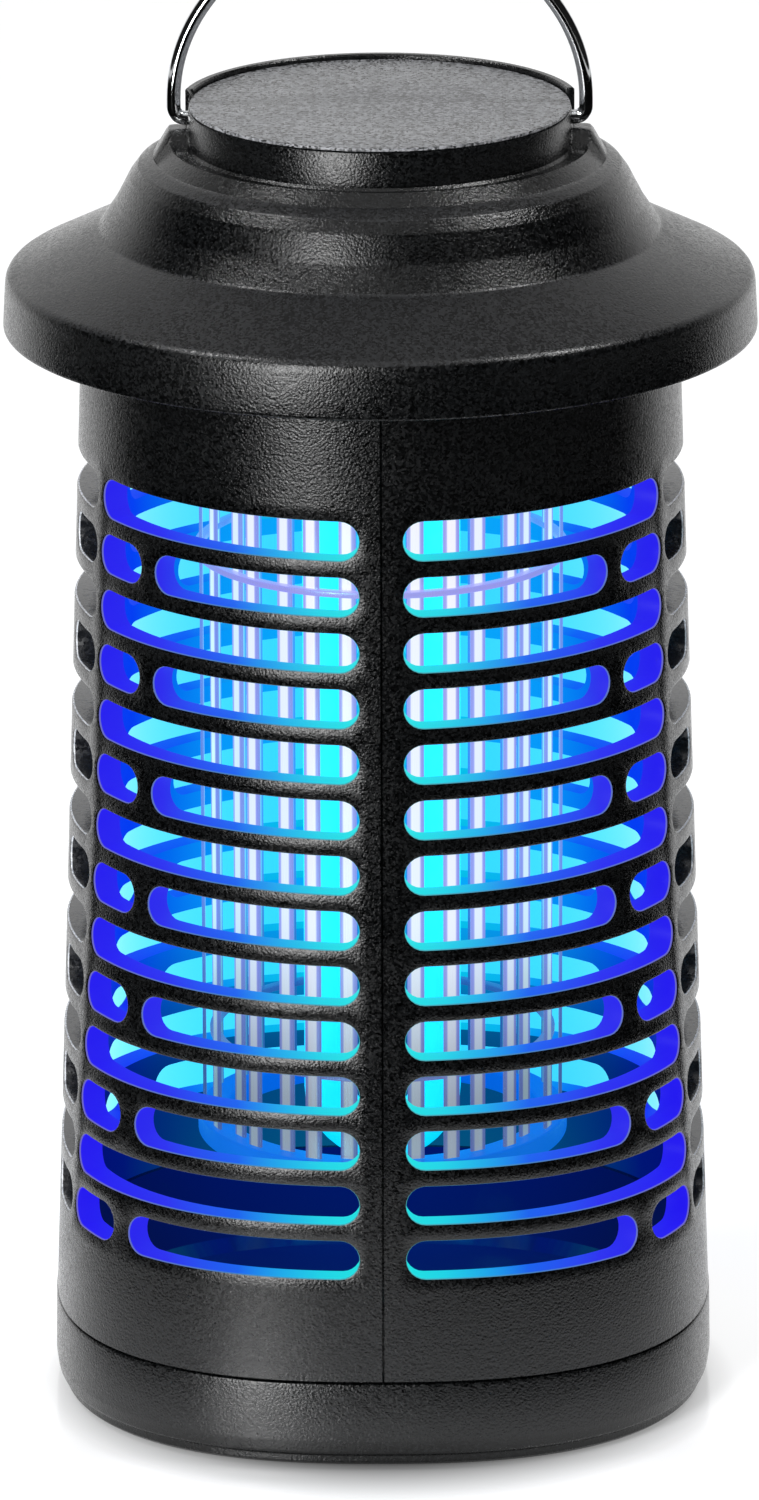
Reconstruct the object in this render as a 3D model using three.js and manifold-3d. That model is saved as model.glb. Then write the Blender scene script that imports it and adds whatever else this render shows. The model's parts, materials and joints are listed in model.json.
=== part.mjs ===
// Electric bug zapper: a lantern-shaped insect killer that stands on its base or hangs from a bail.
// Millimetres, +Z up, origin at the bottom centre. The seam between the two grille halves faces -Y.
import * as THREE from 'three';
import { mergeVertices } from 'three/addons/utils/BufferGeometryUtils.js';
import Module from 'manifold-3d';

const wasm = await Module();
wasm.setup();

// ---- driving dimensions -------------------------------------------------------------------
const GAP = 0.3;                // clearance between pieces that touch

const BRIM_R = 87.5;            // rain brim, the widest part
const BRIM_BOTTOM = 254.3;
const BRIM_RIDGE = 265.1;       // where the sloping brim turns down into its skirt
const NECK_FOOT = 278.2;        // where the bell-shaped neck lands on the brim
const SHOULDER_Z = 297.6;       // lip around the turret's groove
const SHOULDER_R = 48.5;
const GROOVE_FLOOR = 297.0;
const TURRET_R = 44.2;
const TURRET_BORE = 40.4;
const TURRET_TOP = 305.8;
const DISC_TOP = 306.8;
const RIM_R = 46.3;             // raised half rim behind the disc
const RIM_TOP = 307.9;
const RIM_FROM = 103;           // degrees from the front where the half rim starts

const PIVOT_Z = 303.5;          // bail axis, along X
const WIRE = 3.3;               // bail wire diameter
const BAIL_HALF = 47.6;         // half width between the wire's centres
const BAIL_LEG = 4.4;           // straight length above the pivot
const BAIL_RISE = 42.2;         // height of the half-ellipse over the legs
const BAIL_BEND = 2.6;          // radius of the hooks

const BODY_R0 = 77.9;           // outer radius of the grille, extrapolated to the ground
const BODY_TAPER = 0.0333;      // radius lost per millimetre of height
const BODY_TOP = 264.4;
const PARTING = 21.1;           // joint between the grille and the collection tray
const WALL = 3;
const SLAT_DEPTH = 6;           // the grille is thicker where it is slotted
const SLOTTED_FROM = 40;
const SLOTTED_TO = 234;
const SQUARE_BELOW = 150;       // the plan is a circle above this height
const SQUARE_OVER = 130;        // and eases to its squarest over this distance
const SQUARENESS = 0.5;         // added to the circle's exponent of 2

const ROWS = 14;
const ROW_TOP = 226;            // top edge of the first row of slots
const ROW_PITCH = 13.12;
const SLOT_H = 9.1;
// Slot ends in degrees from the front seam; the same angles are mirrored behind the sides.
const LONG_ROW = [[4.1, 65], [67.6, 90]];
const SHORT_ROW = [[4.1, 47], [51, 65.3], [67.6, 82.5]];

const CEILING_Z = 259;          // underside of the plate that closes the killing chamber
const CEILING_T = 2.7;
const CEILING_R = 65.4;
const BOSS_AT = 35;             // the cap's screw bosses, in X and in Y
const GRID_TOP = 250;
const GRID_BOTTOM = 63;
const LIVE_R = 42;
const RETURN_R = 40;
const STRIPS = 16;              // strips in each of the two electrodes
const STRIP_W = 4;
const STRIP_T = 0.8;
const LAMP_BOTTOM = 50;
const LAMP_TOP = 228;
const LAMP_TUBE = 12;           // diameter of the glass
const LAMP_LEG = 12.5;          // each leg's distance from the axis
const BOARD_Z = 268;
const BOARD_T = 1.6;
const BOARD_X = 62;
const BOARD_Y = 54;
const TRAY_R = 77.6;
const TRAY_FLOOR = 4.4;
const FOOT_R = 5;
const FOOT_AT = 44;
const GLAND_Z = 287;
const LEAD_R = 3.3;             // bore for the mains lead

const CAP_SIDES = 40;
const BODY_SIDES = 28;
const SMALL_SIDES = 10;

// ---- finishes -----------------------------------------------------------------------------
const finish = (color, roughness, metalness = 0) =>
  new THREE.MeshStandardMaterial({ color, roughness, metalness });
const BLACK_ABS = finish(0x17181a, 0.5);
const GREY_ABS = finish(0x55575a, 0.55);
const CHROME = finish(0xd8dadc, 0.12, 1);
const ZINC = finish(0xb9bcc6, 0.3, 1);
const WHITE_PP = finish(0xdfe3ea, 0.5);
const UV_GLASS = new THREE.MeshStandardMaterial({ color: 0x9fdcff, emissive: 0x2a7cff, roughness: 0.2 });
const FIBREGLASS = finish(0x1f5b36, 0.5);
const FERRITE = finish(0x3b3a3c, 0.7);
const CERAMIC = finish(0x2b4f9e, 0.45);
const EPOXY = finish(0x222222, 0.4);
const TAN = finish(0xc9a878, 0.5);
const RUBBER = finish(0x151515, 0.85);
const STEEL = finish(0x9a9c9f, 0.35, 1);

// ---- helpers ------------------------------------------------------------------------------
const rad = THREE.MathUtils.degToRad;
const zapper = new THREE.Group();

function piece(name, shape, material) {
  const geometry = shape.isBufferGeometry ? shape : toGeometry(shape);
  const mesh = new THREE.Mesh(geometry, material);
  mesh.name = name;
  zapper.add(mesh);
}

function toSolid(geometry) {
  const bare = geometry.clone();
  bare.deleteAttribute('normal');
  bare.deleteAttribute('uv');
  const merged = mergeVertices(bare, 1e-4);
  const corners = merged.index.array;
  const triVerts = [];
  for (let i = 0; i < corners.length; i += 3) {
    const [a, b, c] = corners.slice(i, i + 3);
    if (a !== b && b !== c && c !== a) triVerts.push(a, b, c);   // drops slivers on the axis
  }
  return new wasm.Manifold(new wasm.Mesh({
    numProp: 3,
    vertProperties: new Float32Array(merged.attributes.position.array),
    triVerts: new Uint32Array(triVerts),
  }));
}

function toGeometry(solid) {
  const mesh = solid.getMesh();
  const geometry = new THREE.BufferGeometry();
  geometry.setAttribute('position', new THREE.BufferAttribute(mesh.vertProperties, 3));
  geometry.setIndex(new THREE.BufferAttribute(mesh.triVerts, 1));
  return geometry;
}

const join = (solids) => solids.reduce((sum, solid) => sum.add(solid));
const cut = (solid, cutters) => solid.subtract(join(cutters));

// Turns a profile of [radius, height] points about Z. Listed outside-up, inside-down.
function lathe(profile, sides) {
  const points = profile.map(([r, z]) => new THREE.Vector2(r, z));
  return new THREE.LatheGeometry(points, sides).rotateX(Math.PI / 2);
}

const ring = (inner, outer, z0, z1, sides) =>
  lathe([[inner, z0], [outer, z0], [outer, z1], [inner, z1], [inner, z0]], sides);

const drum = (radius, z0, z1, sides = SMALL_SIDES) =>
  lathe([[0, z0], [radius, z0], [radius, z1], [0, z1]], sides);

const box = (x, y, z, at) => new THREE.BoxGeometry(x, y, z).translate(...at);

// The body's plan: a circle up high that eases into a soft square near the ground.
function plainness(z) {
  const t = THREE.MathUtils.clamp((SQUARE_BELOW - z) / SQUARE_OVER, 0, 1);
  return 2 + SQUARENESS * t * t * (3 - 2 * t);
}

function softSquare(geometry) {
  const at = geometry.attributes.position;
  for (let i = 0; i < at.count; i++) {
    const [x, y, z] = [at.getX(i), at.getY(i), at.getZ(i)];
    const r = Math.hypot(x, y);
    if (r > 0) {
      const n = plainness(z);
      const k = (Math.abs(x / r) ** n + Math.abs(y / r) ** n) ** (-1 / n);
      at.setXY(i, x * k, y * k);
    }
  }
  return geometry;
}

// A wedge of a ring between two angles, measured in degrees from the front (-Y) towards +X.
function sector(r0, r1, from, to, z0, height, step = 360 / BODY_SIDES) {
  const shape = new THREE.Shape();
  const steps = Math.max(1, Math.ceil((to - from) / step));
  const spot = (r, i) => {
    const a = rad(from + (to - from) * i / steps);
    return new THREE.Vector2(r * Math.sin(a), -r * Math.cos(a));
  };
  const outline = [];
  for (let i = 0; i <= steps; i++) outline.push(spot(r1, i));
  for (let i = steps; i >= 0; i--) outline.push(spot(r0, i));
  shape.setFromPoints(outline);
  return new THREE.ExtrudeGeometry(shape, { depth: height, bevelEnabled: false }).translate(0, 0, z0);
}

// A round bar along a path.
function bar(path, diameter, sides, steps) {
  const section = new THREE.Shape();
  for (let i = 0; i < sides; i++) {
    const a = 2 * Math.PI * i / sides;
    const [x, y] = [diameter / 2 * Math.cos(a), diameter / 2 * Math.sin(a)];
    if (i === 0) section.moveTo(x, y);
    else section.lineTo(x, y);
  }
  section.closePath();
  return new THREE.ExtrudeGeometry(section, { steps, bevelEnabled: false, extrudePath: path });
}

// ---- cap: turret, shoulder, bell neck and rain brim, in one moulding ----------------------
function capProfile() {
  return [
    [BRIM_R, BRIM_BOTTOM], [BRIM_R - 0.3, BRIM_RIDGE - 2.2], [BRIM_R - 1.5, BRIM_RIDGE],
    [64.5, NECK_FOOT - 1.4], [61, NECK_FOOT + 1.4], [59.7, NECK_FOOT + 4.6],
    [58.3, 287.6], [57.3, 291.2], [56, 293], [51.4, 295.9],
    [SHOULDER_R, SHOULDER_Z], [SHOULDER_R - 0.4, GROOVE_FLOOR], [TURRET_R, GROOVE_FLOOR],
    [TURRET_R, TURRET_TOP], [TURRET_BORE, TURRET_TOP], [TURRET_BORE, 295.4],
    [46.5, 294.6], [50.4, 292.6], [53.6, 290], [54.8, 287], [56.6, 281.6], [57.6, NECK_FOOT - 1],
    [61, 274.6], [61, BODY_TOP + GAP], [63.4, BODY_TOP + GAP], [63.4, 273.3],
    [84.4, 262], [84.9, BRIM_BOTTOM], [BRIM_R, BRIM_BOTTOM],
  ];
}

function buildCap() {
  const rim = sector(TURRET_R - 0.6, RIM_R, RIM_FROM, 360 - RIM_FROM, GROOVE_FLOOR - 0.5,
    RIM_TOP - GROOVE_FLOOR + 0.5, 360 / CAP_SIDES);
  const discRecess = drum(TURRET_R, TURRET_TOP, RIM_TOP + 1, CAP_SIDES);
  let shell = toSolid(lathe(capProfile(), CAP_SIDES)).add(toSolid(rim)).subtract(toSolid(discRecess));
  for (const side of [-1, 1]) {
    shell = shell.add(toSolid(buildPedestal(side)));
    const pivotHole = new THREE.CylinderGeometry(WIRE / 2 + GAP, WIRE / 2 + GAP, 6, SMALL_SIDES)
      .rotateZ(Math.PI / 2).translate(side * (TURRET_R - 1.2), 0, PIVOT_Z);
    shell = shell.subtract(toSolid(pivotHole));
    for (const back of [-1, 1]) {
      const at = [side * BOSS_AT, back * BOSS_AT, 0];
      shell = shell.add(toSolid(drum(3.6, CEILING_Z + CEILING_T + GAP, 293.4).translate(...at)));
      shell = shell.subtract(toSolid(drum(1.8, CEILING_Z, 276).translate(...at)));
    }
  }
  const glandHole = new THREE.CylinderGeometry(5, 5, 16, SMALL_SIDES).translate(0, 58, GLAND_Z);
  return shell.subtract(toSolid(glandHole));
}

// A saddle that bridges the groove under each hook of the bail.
function buildPedestal(side) {
  const top = PIVOT_Z - WIRE / 2 - 0.5;
  const outline = [
    [TURRET_R - 1, 295.5], [52.6, 294.4], [50.8, 297.6], [49.1, top - 0.6], [48.6, top], [TURRET_R - 1, top],
  ];
  const shape = new THREE.Shape(outline.map(([x, z]) => new THREE.Vector2(x, z)));
  const wide = 6.4;
  const saddle = new THREE.ExtrudeGeometry(shape, { depth: wide, bevelEnabled: false })
    .rotateX(Math.PI / 2).translate(0, wide / 2, 0);
  return side > 0 ? saddle : saddle.rotateZ(Math.PI);
}

function buildDisc() {
  return lathe([
    [0, TURRET_TOP - 0.4], [38.6, TURRET_TOP - 0.4], [38.6, 303.2], [40, 303.2],
    [40, TURRET_TOP + GAP], [TURRET_R - 0.4, TURRET_TOP + GAP], [TURRET_R - 0.2, TURRET_TOP + 0.6],
    [TURRET_R - 0.7, DISC_TOP], [0, DISC_TOP],
  ], CAP_SIDES);
}

function buildBail() {
  const at = (x, z) => new THREE.Vector3(x, 0, z);
  const half = [at(-TURRET_BORE - 0.6, PIVOT_Z)];
  for (let i = 0; i <= 4; i++) {
    const a = rad(90 * i / 4);
    half.push(at(BAIL_BEND - BAIL_HALF - BAIL_BEND * Math.sin(a),
      PIVOT_Z + BAIL_BEND - BAIL_BEND * Math.cos(a)));
  }
  const arcSteps = 13;
  for (let i = 0; i < arcSteps; i++) {
    const a = Math.PI / 2 * i / arcSteps;
    half.push(at(-BAIL_HALF * Math.cos(a), PIVOT_Z + BAIL_LEG + BAIL_RISE * Math.sin(a)));
  }
  const crown = at(0, PIVOT_Z + BAIL_LEG + BAIL_RISE);
  const mirrored = half.map((p) => at(-p.x, p.z)).reverse();
  return bar(new THREE.CatmullRomCurve3([...half, crown, ...mirrored], false, 'centripetal'), WIRE, 8, 56);
}

// ---- grille halves ------------------------------------------------------------------------
const bodyR = (z) => BODY_R0 - BODY_TAPER * z;
const EASED = [60, 105, SQUARE_BELOW];    // heights where the plan's change of shape is followed

function bodyShell() {
  const outside = [PARTING + GAP, ...EASED, BODY_TOP].map((z) => [bodyR(z), z]);
  const inside = (z, wall) => [bodyR(z) - wall, z];
  const flange = BODY_TOP - 2.4;
  return toSolid(softSquare(lathe([
    ...outside, [58.5, BODY_TOP], [58.5, flange], inside(flange, WALL), inside(SLOTTED_TO + 3, WALL),
    inside(SLOTTED_TO, SLAT_DEPTH), ...EASED.toReversed().map((z) => inside(z, SLAT_DEPTH)),
    inside(SLOTTED_FROM, SLAT_DEPTH), inside(SLOTTED_FROM - 3, WALL), inside(PARTING + GAP, WALL), outside[0],
  ], BODY_SIDES)));
}

// The slots of the half on the +X side: each is mirrored from the front to the back.
function slotCutters() {
  const cutters = [];
  for (let row = 0; row < ROWS; row++) {
    const z = ROW_TOP - row * ROW_PITCH - SLOT_H;
    for (const [from, to] of row % 2 === 0 ? LONG_ROW : SHORT_ROW) {
      const spans = to === 90 ? [[from, 180 - from]] : [[from, to], [180 - to, 180 - from]];
      for (const [a, b] of spans) cutters.push(toSolid(sector(56, 96, a, b, z, SLOT_H)));
    }
  }
  return cutters;
}

function buildGrilleHalves() {
  const half = toSolid(box(100, 200, 300, [50 + GAP / 2, 0, 150]));
  const right = cut(bodyShell().intersect(half), slotCutters());
  piece('grille_right', right, BLACK_ABS);
  piece('grille_left', toGeometry(right).rotateZ(Math.PI), BLACK_ABS);
}

// ---- chamber ceiling, lamp and grids ------------------------------------------------------
function buildCeiling() {
  let plate = toSolid(ring(15.4, CEILING_R, CEILING_Z, CEILING_Z + CEILING_T, BODY_SIDES));
  for (const x of [-1, 1]) {
    for (const y of [-1, 1]) {
      const standoff = [x * (BOARD_X / 2 - 5), y * (BOARD_Y / 2 - 5), 0];
      plate = plate
        .add(toSolid(drum(3, CEILING_Z + 0.5, BOARD_Z - GAP).translate(...standoff)))
        .subtract(toSolid(drum(1.4, CEILING_Z + 1.5, BOARD_Z + 1).translate(...standoff)))
        .subtract(toSolid(drum(1.8, CEILING_Z - 1, BOARD_Z).translate(x * BOSS_AT, y * BOSS_AT, 0)));
    }
  }
  return plate;
}

function buildElectrode(radius, phase, hoopInner, hoopOuter, hoopZ) {
  const strips = [toSolid(ring(hoopInner, hoopOuter, hoopZ - 1.2, hoopZ + 1.2, 2 * STRIPS))];
  const height = GRID_TOP - GRID_BOTTOM - 2 * GAP;
  for (let i = 0; i < STRIPS; i++) {
    const strip = box(STRIP_W, STRIP_T, height, [0, -radius, (GRID_TOP + GRID_BOTTOM) / 2])
      .rotateZ(2 * Math.PI * (i + phase) / STRIPS);
    strips.push(toSolid(strip));
  }
  return join(strips);
}

function buildLamp() {
  const path = new THREE.CurvePath();
  const bend = LAMP_BOTTOM + LAMP_TUBE / 2 + LAMP_LEG;
  const points = [new THREE.Vector3(-LAMP_LEG, 0, LAMP_TOP - GAP)];
  for (let i = 0; i <= 10; i++) {
    const a = Math.PI * i / 10;
    points.push(new THREE.Vector3(-LAMP_LEG * Math.cos(a), 0, bend - LAMP_LEG * Math.sin(a)));
  }
  points.push(new THREE.Vector3(LAMP_LEG, 0, LAMP_TOP - GAP));
  for (let i = 1; i < points.length; i++) path.add(new THREE.LineCurve3(points[i - 1], points[i]));
  return bar(path, LAMP_TUBE, SMALL_SIDES, 44);
}

function buildChamber() {
  piece('chamber_ceiling', buildCeiling(), WHITE_PP);
  piece('grid_insulator_top', ring(36, 45, GRID_TOP, CEILING_Z - GAP, 2 * STRIPS), WHITE_PP);
  piece('grid_insulator_bottom', ring(37, 43.6, GRID_BOTTOM - 5, GRID_BOTTOM, 2 * STRIPS), WHITE_PP);
  piece('grid_live', buildElectrode(LIVE_R, 0, LIVE_R - 0.2, LIVE_R + 1.2, 201), ZINC);
  piece('grid_return', buildElectrode(RETURN_R, 0.5, RETURN_R - 1.2, RETURN_R + 0.2, 83), ZINC);
  piece('lamp_holder', lathe([
    [0, 246], [15, 246], [15, CEILING_Z + CEILING_T + GAP], [18.5, CEILING_Z + CEILING_T + GAP],
    [18.5, 264.6], [0, 264.6],
  ], 24), WHITE_PP);
  piece('lamp_base', lathe([
    [0, LAMP_TOP], [19.5, LAMP_TOP], [20, LAMP_TOP + 1], [20, 243], [14, 246 - GAP], [0, 246 - GAP],
  ], 24), WHITE_PP);
  piece('uv_lamp', buildLamp(), UV_GLASS);
}

// ---- electronics under the dome -----------------------------------------------------------
function buildElectronics() {
  const deck = BOARD_Z + BOARD_T + GAP;
  const screws = [];
  for (const x of [-1, 1]) {
    for (const y of [-1, 1]) screws.push([x * (BOARD_X / 2 - 5), y * (BOARD_Y / 2 - 5), 0]);
  }
  const holes = screws.map((at) => toSolid(drum(1.4, BOARD_Z - 1, BOARD_Z + 3).translate(...at)));
  const board = box(BOARD_X, BOARD_Y, BOARD_T, [0, 0, BOARD_Z + BOARD_T / 2]);
  piece('circuit_board', cut(toSolid(board), holes), FIBREGLASS);
  screws.forEach((at, i) => {
    const screw = lathe([
      [0, BOARD_Z - 5], [1.1, BOARD_Z - 5], [1.1, deck], [2.7, deck], [2.2, deck + 1.5], [0, deck + 1.5],
    ], 8);
    piece(`board_screw_${i + 1}`, screw.translate(...at), STEEL);
  });
  piece('hv_transformer', box(20, 18, 16, [-14, 6, deck + 8]), FERRITE);
  piece('ballast_choke', drum(7, deck, deck + 13, 16).translate(10, -14, 0), FERRITE);
  piece('fuse', box(16, 5, 5, [-14, -12, deck + 2.5]), TAN);
  for (let i = 0; i < 4; i++) {
    const x = 4 + i * 7.4;
    piece(`hv_capacitor_${i + 1}`, box(6, 9, 10, [x - 1, 8, deck + 5]), CERAMIC);
    const diode = new THREE.CylinderGeometry(1.4, 1.4, 5, 8).translate(x - 1, -1.6, deck + 1.5);
    piece(`hv_diode_${i + 1}`, diode, EPOXY);
  }
  for (let i = 0; i < 2; i++) {
    const resistor = new THREE.CylinderGeometry(1.6, 1.6, 8, 8).rotateZ(Math.PI / 2);
    piece(`bleed_resistor_${i + 1}`, resistor.translate(-14, -19 - i * 4.2, deck + 1.7), TAN);
  }
}

function buildCeilingScrews() {
  let count = 0;
  for (const x of [-1, 1]) {
    for (const y of [-1, 1]) {
      count += 1;
      const head = CEILING_Z - GAP;
      const screw = lathe([
        [0, head - 2.2], [3, head - 2.2], [3.6, head], [1.5, head], [1.5, 274], [0, 274],
      ], 8);
      piece(`ceiling_screw_${count}`, screw.translate(x * BOSS_AT, y * BOSS_AT, 0), STEEL);
    }
  }
}

// Strain-relief bush in the back of the neck, where the mains lead enters.
function buildGland() {
  return lathe([
    [LEAD_R, -7], [4.6, -7], [4.6, 2.2], [6.8, 2.2], [6.8, 4], [5, 5], [4.3, 12], [LEAD_R, 12], [LEAD_R, -7],
  ], 16).rotateX(-Math.PI / 2).translate(0, 59.8, GLAND_Z);
}

// ---- collection tray and feet -------------------------------------------------------------
function buildTray() {
  const shelf = PARTING;
  const spigotTop = PARTING + 7.4;
  return softSquare(lathe([
    [0, 1.6], [68.8, 1.6], [69.4, 0.5], [75, 0.5], [75.8, 1.3], [75.8, 3.2], [77, 3.7],
    [TRAY_R, 6], [TRAY_R, 12], [TRAY_R - 0.2, shelf - 0.4], [TRAY_R - 0.7, shelf], [73.7, shelf],
    [73.4, spigotTop], [71.6, spigotTop], [71.8, 12], [72, TRAY_FLOOR + 2], [70, TRAY_FLOOR],
    [0, TRAY_FLOOR],
  ], BODY_SIDES));
}

function buildFeet() {
  let count = 0;
  for (const x of [-1, 1]) {
    for (const y of [-1, 1]) {
      count += 1;
      piece(`foot_${count}`, drum(FOOT_R, 0, 1.6 - GAP, 16).translate(x * FOOT_AT, y * FOOT_AT, 0), RUBBER);
    }
  }
}

piece('cap_shell', buildCap(), BLACK_ABS);
piece('top_disc', buildDisc(), GREY_ABS);
piece('bail_handle', buildBail(), CHROME);
buildGrilleHalves();
buildChamber();
buildElectronics();
buildCeilingScrews();
piece('cord_gland', buildGland(), RUBBER);
piece('collection_tray', buildTray(), BLACK_ABS);
buildFeet();

export default zapper;
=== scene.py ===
# %% [markdown]
# # An electric bug zapper, in cells
# The real thing is a lantern: a tapered black ABS body with rows of slots, a wide rain brim with a
# turret on top, a chromed wire bail, and inside, a glowing tube within a ring of charged strips.
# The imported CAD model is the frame. It says where every piece is, and this lesson makes the surface
# that the eye sees: rounded edges, moulded grain, and plastic lit from the inside.

# %% Start
import json
from math import cos, degrees, pi, radians, sin, tan, tau

import bmesh
import bpy
from mathutils import Matrix, Vector
from mathutils.geometry import delaunay_2d_cdt


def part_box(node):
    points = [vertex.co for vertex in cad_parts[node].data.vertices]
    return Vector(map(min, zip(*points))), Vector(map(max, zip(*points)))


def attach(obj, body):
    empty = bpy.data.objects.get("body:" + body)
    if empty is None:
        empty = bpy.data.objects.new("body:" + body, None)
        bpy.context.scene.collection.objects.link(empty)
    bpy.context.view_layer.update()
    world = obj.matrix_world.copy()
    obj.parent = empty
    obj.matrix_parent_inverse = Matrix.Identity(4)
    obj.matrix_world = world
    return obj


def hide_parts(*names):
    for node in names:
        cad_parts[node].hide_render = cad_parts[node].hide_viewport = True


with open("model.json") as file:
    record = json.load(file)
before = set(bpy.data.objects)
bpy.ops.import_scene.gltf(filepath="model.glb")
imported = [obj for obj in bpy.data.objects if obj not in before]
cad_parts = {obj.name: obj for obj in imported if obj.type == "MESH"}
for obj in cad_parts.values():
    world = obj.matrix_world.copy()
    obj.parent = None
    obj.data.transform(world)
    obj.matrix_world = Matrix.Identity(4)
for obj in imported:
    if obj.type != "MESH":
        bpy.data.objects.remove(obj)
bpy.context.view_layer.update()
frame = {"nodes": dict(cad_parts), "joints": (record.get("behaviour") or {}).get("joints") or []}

# %% [markdown]
# ## Sizes
# Everything is written in millimetres and turned to metres only when a mesh is made. Heights and
# radii that the frame knows are read from its boxes, so they follow the CAD if it changes.

# %% Sizes
MM = 0.001
AXIS = 0.0001  # a radius of nearly nothing, where a turned profile meets the axis


def span(node, axis):
    """The lowest and highest value of a node along one axis, in millimetres."""
    low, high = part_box(node)
    return low[axis] / MM, high[axis] / MM


BRIM_R = span("cap_shell", 0)[1]
BRIM_BOTTOM, RIM_TOP = span("cap_shell", 2)
DISC_TOP = span("top_disc", 2)[1]
BODY_BOTTOM, BODY_TOP = span("grille_right", 2)
TRAY_R = span("collection_tray", 0)[1]
PIVOT = Vector(next(j for j in frame["joints"] if j["name"] == "bail_swing")["pos_m"]) / MM
WIRE = span("bail_handle", 1)[1] * 2
print("brim", BRIM_R, "turret top", DISC_TOP, "body", BODY_BOTTOM, BODY_TOP, "wire", WIRE)

# %% [markdown]
# ## Camera
# A product shot is taken from far away with a long lens, so that upright sides stay nearly
# parallel. The camera stands 2.6 m in front and looks down at the middle of the body.


# %% Camera
def new_object(name, data):
    """An object with this data, in the scene."""
    made = bpy.data.objects.new(name, data)
    bpy.context.collection.objects.link(made)
    return made


CAMERA_AWAY, CAMERA_HEIGHT, CAMERA_ASIDE = 2.6, 0.936, -0.0005
CAMERA_DOWN, CAMERA_ROLL = 16.80, -0.16
LENS, SENSOR = 278, 36
camera = new_object("camera", bpy.data.cameras.new("camera"))
camera.data.lens, camera.data.sensor_width = LENS, SENSOR
camera.location = (CAMERA_ASIDE, -CAMERA_AWAY, CAMERA_HEIGHT)
camera.rotation_mode = "QUATERNION"
tilt = Matrix.Rotation(radians(90 - CAMERA_DOWN), 4, "X")
camera.rotation_quaternion = (tilt @ Matrix.Rotation(radians(CAMERA_ROLL), 4, "Z")).to_quaternion()
camera.data.clip_start, camera.data.clip_end = 0.1, 20
bpy.context.scene.camera = camera

# %% [markdown]
# ## Nodes and colours
# A finish is a small graph. One function adds a node with its settings and its inputs, and an input
# is either a value or another node's output. Colours are written as sRGB hex, as a picture shows
# them, and turned to the linear values that light works in.


# %% Node and colour helpers
def feed(node, **inputs):
    """Sets a node's inputs, named as on the node or n0, n1... by place, to a value or a link.

    A node given as an input stands for its first output.
    """
    for name, value in inputs.items():
        by_place = name[0] == "n" and name[1:].isdigit()
        socket = node.inputs[int(name[1:]) if by_place else name.replace("_", " ")]
        if isinstance(value, bpy.types.Node):
            value = value.outputs[0]
        if isinstance(value, bpy.types.NodeSocket):
            node.id_data.links.new(value, socket)
        else:
            socket.default_value = value


def add(tree, kind, settings=None, family="ShaderNode", **inputs):
    """Adds a node with its settings, and feeds its inputs."""
    made = tree.nodes.new(family + kind)
    for name, value in (settings or {}).items():
        setattr(made, name, value)
    feed(made, **inputs)
    return made


def linear(code):
    """'#rrggbb' in sRGB to linear values, and an alpha of 1."""
    parts = [int(code[i : i + 2], 16) / 255 for i in (1, 3, 5)]
    return (*(v / 12.92 if v <= 0.04045 else ((v + 0.055) / 1.055) ** 2.4 for v in parts), 1.0)


def new_finish(name, **inputs):
    """A new material: its tree, its shader with these inputs, and its object coordinates."""
    made = bpy.data.materials.new(name)
    made.use_nodes = True
    tree = made.node_tree
    tree.nodes.clear()
    shader = add(tree, "BsdfPrincipled", **inputs)
    add(tree, "OutputMaterial", Surface=shader)
    return made, tree, shader, add(tree, "TexCoord").outputs["Object"]


def ramp(tree, factor, stops):
    """A colour ramp through (position, hex) stops."""
    made = add(tree, "ValToRGB", Fac=factor)
    elements = made.color_ramp.elements
    while len(elements) < len(stops):
        elements.new(0.5)
    for element, (position, code) in zip(elements, stops):
        element.position, element.color = position, linear(code)
    return made


# %% [markdown]
# ## Black ABS, moulded with a leather grain
# ABS is a hard plastic with an IOR near 1.53. The mould was etched, so the skin is a mat of shallow
# pebbles. Real ones are near 0.3 mm wide, too fine to show, so they are drawn 0.6 mm wide. A Voronoi
# texture and a finer noise raise them, and a second Voronoi gives each its own gloss and tone, which
# the eye sees as sparkle. A broad noise varies the gloss as handling does.


# %% Black ABS
def moulded_abs(name, colour, roughness, grain_mm, depth_mm, speckle=0.3):
    """Moulded ABS: pebbles grain_mm wide stand depth_mm out, and differ in tone by speckle."""
    made, tree, shader, place = new_finish(name, IOR=1.53)
    pebble = add(tree, "TexVoronoi", {"feature": "SMOOTH_F1"}, Vector=place,
                 Scale=1 / (grain_mm * MM), Smoothness=0.35)
    fine = add(tree, "TexNoise", Vector=place, Scale=1 / (0.45 * grain_mm * MM), Detail=2.0)
    height = add(tree, "Math", {"operation": "MULTIPLY_ADD"}, n0=pebble.outputs["Distance"],
                 n1=-1.0, n2=fine)
    bump = add(tree, "Bump", Height=height, Distance=depth_mm * MM, Strength=1.0)
    wear = add(tree, "TexNoise", Vector=place, Scale=28.0, Detail=4.0)
    gloss = add(tree, "MapRange", Value=wear, n1=0.35, n2=0.65,
                n3=roughness - 0.12, n4=roughness - 0.02)
    cells = add(tree, "TexVoronoi", Vector=place, Scale=1 / (0.8 * grain_mm * MM))
    each = add(tree, "SeparateColor", Color=cells.outputs["Color"])
    gloss = add(tree, "Math", {"operation": "MULTIPLY_ADD"}, n0=each, n1=0.25, n2=gloss)
    tint = add(tree, "MapRange", Value=each, n1=0.1, n2=0.9, n3=1 - speckle, n4=1 + speckle)
    shade = add(tree, "Mix", {"data_type": "RGBA", "blend_type": "MULTIPLY"},
                n0=1.0, n6=linear(colour), n7=tint)
    feed(shader, Base_Color=shade.outputs[2], Roughness=gloss, Normal=bump)
    return made


GRAINED = moulded_abs("abs_leather_grain", "#08090a", 0.15, 0.62, 0.062, 0.9)
SATIN = moulded_abs("abs_satin", "#111214", 0.23, 0.62, 0.045, 0.9)
DISC_GREY = moulded_abs("abs_satin_grey", "#747578", 0.31, 0.75, 0.08, 0.9)

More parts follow.
